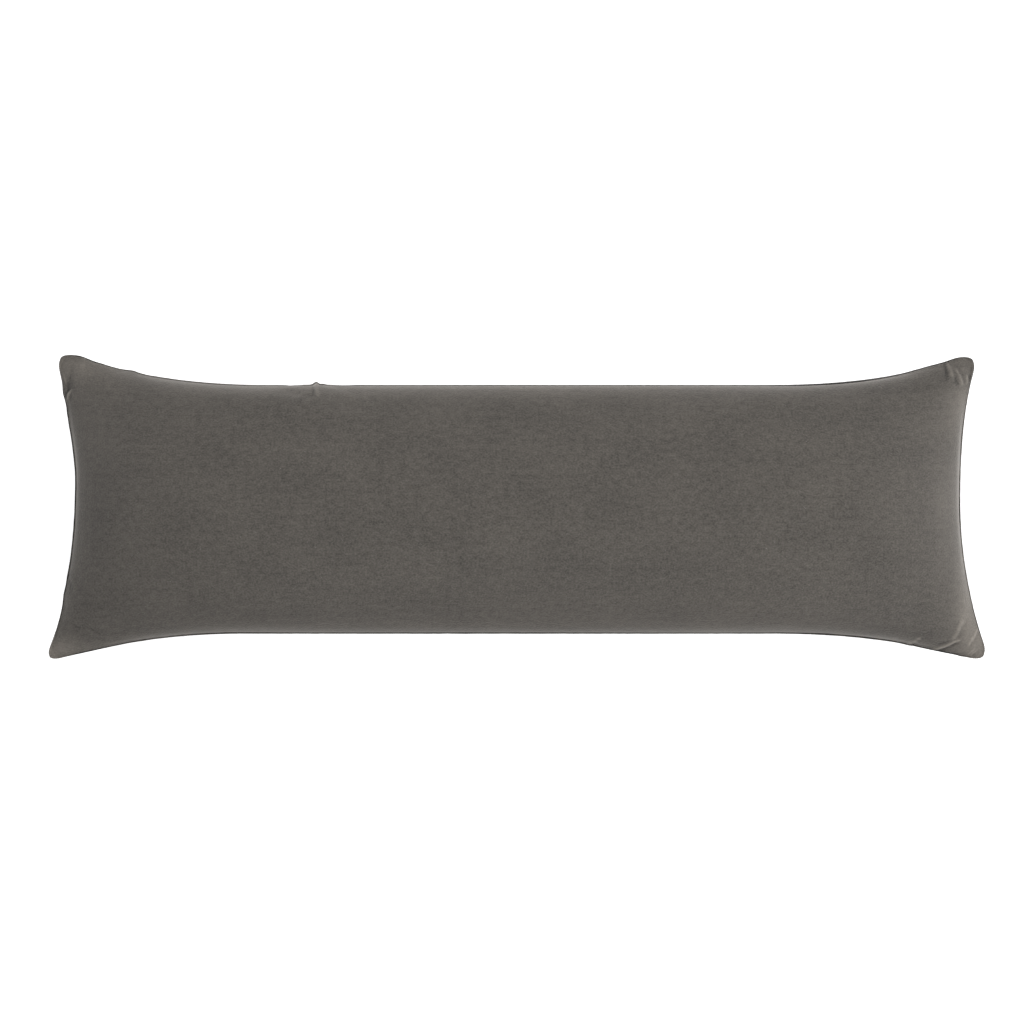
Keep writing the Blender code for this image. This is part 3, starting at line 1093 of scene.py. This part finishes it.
def stitch_tree():
    """Node tree: short round-ended stitches laid end to end along a path."""
    sizes = dict.fromkeys(("Stitch Length", "Stitch Gap", "Thickness"), "Float")
    tree, given, result = geometry_tree("seam stitches", sizes)
    nodes = tree.nodes
    path = nodes.new("GeometryNodeMeshToCurve")
    pitch = nodes.new("ShaderNodeMath")
    spaced = add(nodes, "GeometryNodeResampleCurve", mode="LENGTH")
    stitch = add(nodes, "GeometryNodeMeshUVSphere", {"Segments": 6, "Rings": 4, "Radius": 0.5})
    size = nodes.new("ShaderNodeCombineXYZ")
    ahead = nodes.new("GeometryNodeInputTangent")
    turned = add(nodes, "FunctionNodeAlignRotationToVector", axis="Z")
    laid = nodes.new("GeometryNodeInstanceOnPoints")
    join(
        nodes,
        (given, "Geometry", path, "Mesh"),
        (given, "Stitch Length", pitch, 0),
        (given, "Stitch Gap", pitch, 1),
        (path, "Curve", spaced, "Curve"),
        (pitch, 0, spaced, "Length"),
        (given, "Thickness", size, "X"),
        (given, "Thickness", size, "Y"),
        (given, "Stitch Length", size, "Z"),
        (ahead, "Tangent", turned, "Vector"),
        (spaced, "Curve", laid, "Points"),
        (stitch, "Mesh", laid, "Instance"),
        (turned, "Rotation", laid, "Rotation"),
        (size, "Vector", laid, "Scale"),
    )
    finish_tree(nodes, laid, given, result)
    return tree


def fibre_tree():
    """Node tree: short bent fibres strewn over a surface, each lying its own way."""
    sizes = dict.fromkeys(("Density", "Length", "Thickness", "Lowest"), "Float")
    tree, given, result = geometry_tree("loose fibres", {**sizes, "Seed": "Int"})
    nodes = tree.nodes
    strewn = nodes.new("GeometryNodeDistributePointsOnFaces")
    place = nodes.new("GeometryNodeInputPosition")
    parts = nodes.new("ShaderNodeSeparateXYZ")
    high = add(nodes, "FunctionNodeCompare", operation="GREATER_THAN")
    # The fibre is bent for a length of 1, and each one is scaled to its own length
    curve = {"Start": (0, 0, 0), "Middle": (0, 0.1, 0.6), "End": (0.25, 0.6, 0.9)}
    bend = add(nodes, "GeometryNodeCurveQuadraticBezier", {"Resolution": 3, **curve})
    across = add(nodes, "GeometryNodeCurvePrimitiveCircle", {"Resolution": 3})
    half = add(nodes, "ShaderNodeMath", {1: 0.5}, operation="MULTIPLY")
    ratio = add(nodes, "ShaderNodeMath", operation="DIVIDE")
    fibre = add(nodes, "GeometryNodeCurveToMesh", {"Fill Caps": True})
    angles = {0: (-FIBRE_LEAN, -FIBRE_LEAN, 0), 1: (FIBRE_LEAN, FIBRE_LEAN, 2 * pi)}
    lean = add(nodes, "FunctionNodeRandomValue", angles, data_type="FLOAT_VECTOR")
    turned = add(nodes, "FunctionNodeRotateRotation", rotation_space="LOCAL")
    as_rotation = nodes.new("FunctionNodeEulerToRotation")
    share = add(nodes, "FunctionNodeRandomValue", {2: SHORTEST_FIBRE, 3: 1.0})
    size = add(nodes, "ShaderNodeMath", operation="MULTIPLY")
    laid = nodes.new("GeometryNodeInstanceOnPoints")
    join(
        nodes,
        (given, "Geometry", strewn, "Mesh"),
        (place, "Position", parts, "Vector"),
        (parts, "Z", high, "A"),
        (given, "Lowest", high, "B"),
        (high, "Result", strewn, "Selection"),
        (given, "Density", strewn, "Density"),
        (given, "Seed", strewn, "Seed"),
        (given, "Seed", lean, "Seed"),
        (given, "Seed", share, "Seed"),
        (given, "Thickness", half, 0),
        (half, 0, ratio, 0),
        (given, "Length", ratio, 1),
        (ratio, 0, across, "Radius"),
        (bend, "Curve", fibre, "Curve"),
        (across, "Curve", fibre, "Profile Curve"),
        (lean, 0, as_rotation, "Euler"),
        (strewn, "Rotation", turned, "Rotation"),
        (as_rotation, "Rotation", turned, "Rotate By"),
        (share, 1, size, 0),
        (given, "Length", size, 1),
        (strewn, "Points", laid, "Points"),
        (fibre, "Mesh", laid, "Instance"),
        (turned, "Rotation", laid, "Rotation"),
        (size, 0, laid, "Scale"),
    )
    finish_tree(nodes, laid, given, result)
    return tree


def seam_path_mesh(cover_piece, columns, rows):
    """The line of the seam on the cover, as a closed path of edges."""
    numbers = panel_numbers(columns, rows)[0]
    loop = np.concatenate(
        [numbers[:-1, 0], numbers[-1, :-1], numbers[:0:-1, -1], numbers[0, :0:-1]]
    )
    points = [cover_piece.data.vertices[int(number)].co.copy() for number in loop]
    edges = [(k, (k + 1) % len(points)) for k in range(len(points))]
    mesh = bpy.data.meshes.new("seam_path")
    mesh.from_pydata(points, edges, [])
    return mesh


def area_light(name, place, size, power):
    """A large soft light that looks at the pillow."""
    data = bpy.data.lights.new(name, "AREA")
    data.shape = "SQUARE"
    data.size = size
    data.energy = power
    light = bpy.data.objects.new(name, data)
    light.location = place
    light.rotation_euler = (Vector(LIT_PLACE) - light.location).to_track_quat("-Z", "Y").to_euler()
    bpy.context.scene.collection.objects.link(light)


def seen_strength(nodes, given, seen):
    """A strength that differs between what a surface gives to the scene and what the eye sees of it."""
    path = nodes.new("ShaderNodeLightPath")
    strength = add(nodes, "ShaderNodeMapRange", {"To Min": given, "To Max": seen})
    link(nodes, path.outputs["Is Camera Ray"], strength.inputs["Value"])
    return strength.outputs["Result"]


def floor_material(colour, glow):
    """Plain matt pale floor, paler to the eye than the light it gives, so shadows on it stay faint."""
    finish = {
        "Base Color": (*colour, 1),
        "Roughness": 0.95,
        "Specular IOR Level": 0.1,
        "Emission Color": (1, 1, 1, 1),
    }
    material, nodes, shader = new_material("floor", finish)
    link(nodes, seen_strength(nodes, 0, glow), shader.inputs["Emission Strength"])
    return material


def studio_world(surround, wall_brightness):
    """Pale walls all round, paler to the eye than the light they give."""
    world = bpy.data.worlds.new("studio")
    world.use_nodes = True
    nodes = world.node_tree.nodes
    walls = nodes["Background"]
    walls.inputs["Color"].default_value = (1, 1, 1, 1)
    link(nodes, seen_strength(nodes, surround, wall_brightness), walls.inputs["Strength"])
    return world


class LUMBAR_OT_sew_cover(Operator):
    """Sew the velvet cover over the solid and let it settle"""

    bl_idname = "lumbar_pillow.sew_cover"
    bl_label = "Sew Cover"

    def execute(self, context):
        cover, velvet = context.scene.pillow_cover, context.scene.pillow_velvet
        piece = new_piece("pillow_cover", cover_mesh(cover))
        cloth = velvet_material(velvet)
        piece.data.materials.append(cloth)
        piece.data.materials.append(crushed_material(cloth, velvet.crushed_sheen))
        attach(piece, "root")
        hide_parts("pillow")
        return {"FINISHED"}


class LUMBAR_OT_stitch_seam(Operator):
    """Lay the thread of the seam in its groove"""

    bl_idname = "lumbar_pillow.stitch_seam"
    bl_label = "Stitch Seam"

    def execute(self, context):
        cover, thread = context.scene.pillow_cover, context.scene.pillow_thread
        counts = [len(lines) for lines in panel_lines(cover)]
        path = seam_path_mesh(bpy.data.objects["pillow_cover"], *counts)
        values = {
            "Stitch Length": thread.stitch_length,
            "Stitch Gap": thread.stitch_gap,
            "Thickness": thread.thickness,
            "Material": yarn_material("thread", thread.colour, THREAD_GRAIN),
        }
        piece = grown("seam_stitches", stitch_tree(), path, values)
        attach(piece, "root")
        return {"FINISHED"}


class LUMBAR_OT_strew_fibres(Operator):
    """Strew short loose fibres over the pile"""

    bl_idname = "lumbar_pillow.strew_fibres"
    bl_label = "Strew Fibres"

    def execute(self, context):
        fibres = context.scene.pillow_fibres
        values = {
            "Density": fibres.density,
            "Length": fibres.length,
            "Thickness": fibres.thickness,
            # The lowest place for a fibre, high enough that none reaches into the floor
            "Lowest": 2 * fibres.length,
            "Seed": fibres.seed,
            "Material": yarn_material("fibre", fibres.colour, FIBRE_GRAIN),
        }
        ground = bpy.data.objects["pillow_cover"].data.copy()
        piece = grown("loose_fibres", fibre_tree(), ground, values)
        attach(piece, "root")
        return {"FINISHED"}


class LUMBAR_OT_set_studio(Operator):
    """Set the floor, the lights and the camera round the pillow"""

    bl_idname = "lumbar_pillow.set_studio"
    bl_label = "Set Studio"

    def execute(self, context):
        scene, studio = context.scene, context.scene.pillow_studio
        bpy.ops.mesh.primitive_plane_add(size=FLOOR_WIDTH, location=(0, 0, -FLOOR_DROP))
        floor = context.object
        floor.name = "floor"
        floor.data.materials.append(floor_material(studio.floor_colour, studio.floor_glow))
        for name, (place, size) in LIGHTS.items():
            area_light(name + "_light", place, size, getattr(studio, name + "_power"))
        scene.world = studio_world(studio.surround, studio.wall_brightness)
        scene.view_settings.view_transform = "Standard"
        data = bpy.data.cameras.new("camera")
        data.lens = studio.lens
        data.sensor_width = SENSOR_WIDTH
        camera = bpy.data.objects.new("camera", data)
        camera.location = (*studio.aim, CAMERA_BASE + studio.camera_height)
        scene.collection.objects.link(camera)
        scene.camera = camera
        return {"FINISHED"}


# Each group of settings, with the steps that the panel lists below it
STEPS = {
    "pillow_cover": (CoverSettings, "lumbar_pillow.sew_cover"),
    "pillow_velvet": (VelvetSettings, None),
    "pillow_thread": (ThreadSettings, "lumbar_pillow.stitch_seam"),
    "pillow_fibres": (FibreSettings, "lumbar_pillow.strew_fibres"),
    "pillow_studio": (StudioSettings, "lumbar_pillow.set_studio"),
}


class LUMBAR_PT_pillow(Panel):
    """Sizes and colours of the pillow, with a button for each step of its making"""

    bl_idname = "LUMBAR_PT_pillow"
    bl_label = "Lumbar Pillow"
    bl_space_type = "VIEW_3D"
    bl_region_type = "UI"
    bl_category = "Pillow"

    def draw(self, context):
        for attribute, (group, step) in STEPS.items():
            box = self.layout.box()
            for name in group.__annotations__:
                box.prop(getattr(context.scene, attribute), name)
            if step:
                box.operator(step)


CLASSES = (
    LUMBAR_OT_sew_cover,
    LUMBAR_OT_stitch_seam,
    LUMBAR_OT_strew_fibres,
    LUMBAR_OT_set_studio,
    LUMBAR_PT_pillow,
)


def register():
    for attribute, (group, _) in STEPS.items():
        bpy.utils.register_class(group)
        setattr(bpy.types.Scene, attribute, PointerProperty(type=group))
    for cls in CLASSES:
        bpy.utils.register_class(cls)


def unregister():
    for cls in reversed(CLASSES):
        bpy.utils.unregister_class(cls)
    for attribute, (group, _) in reversed(STEPS.items()):
        delattr(bpy.types.Scene, attribute)
        bpy.utils.unregister_class(group)


def main():
    register()
    bpy.ops.lumbar_pillow.sew_cover()
    bpy.ops.lumbar_pillow.stitch_seam()
    bpy.ops.lumbar_pillow.strew_fibres()
    bpy.ops.lumbar_pillow.set_studio()


if __name__ == "__main__":
    main()
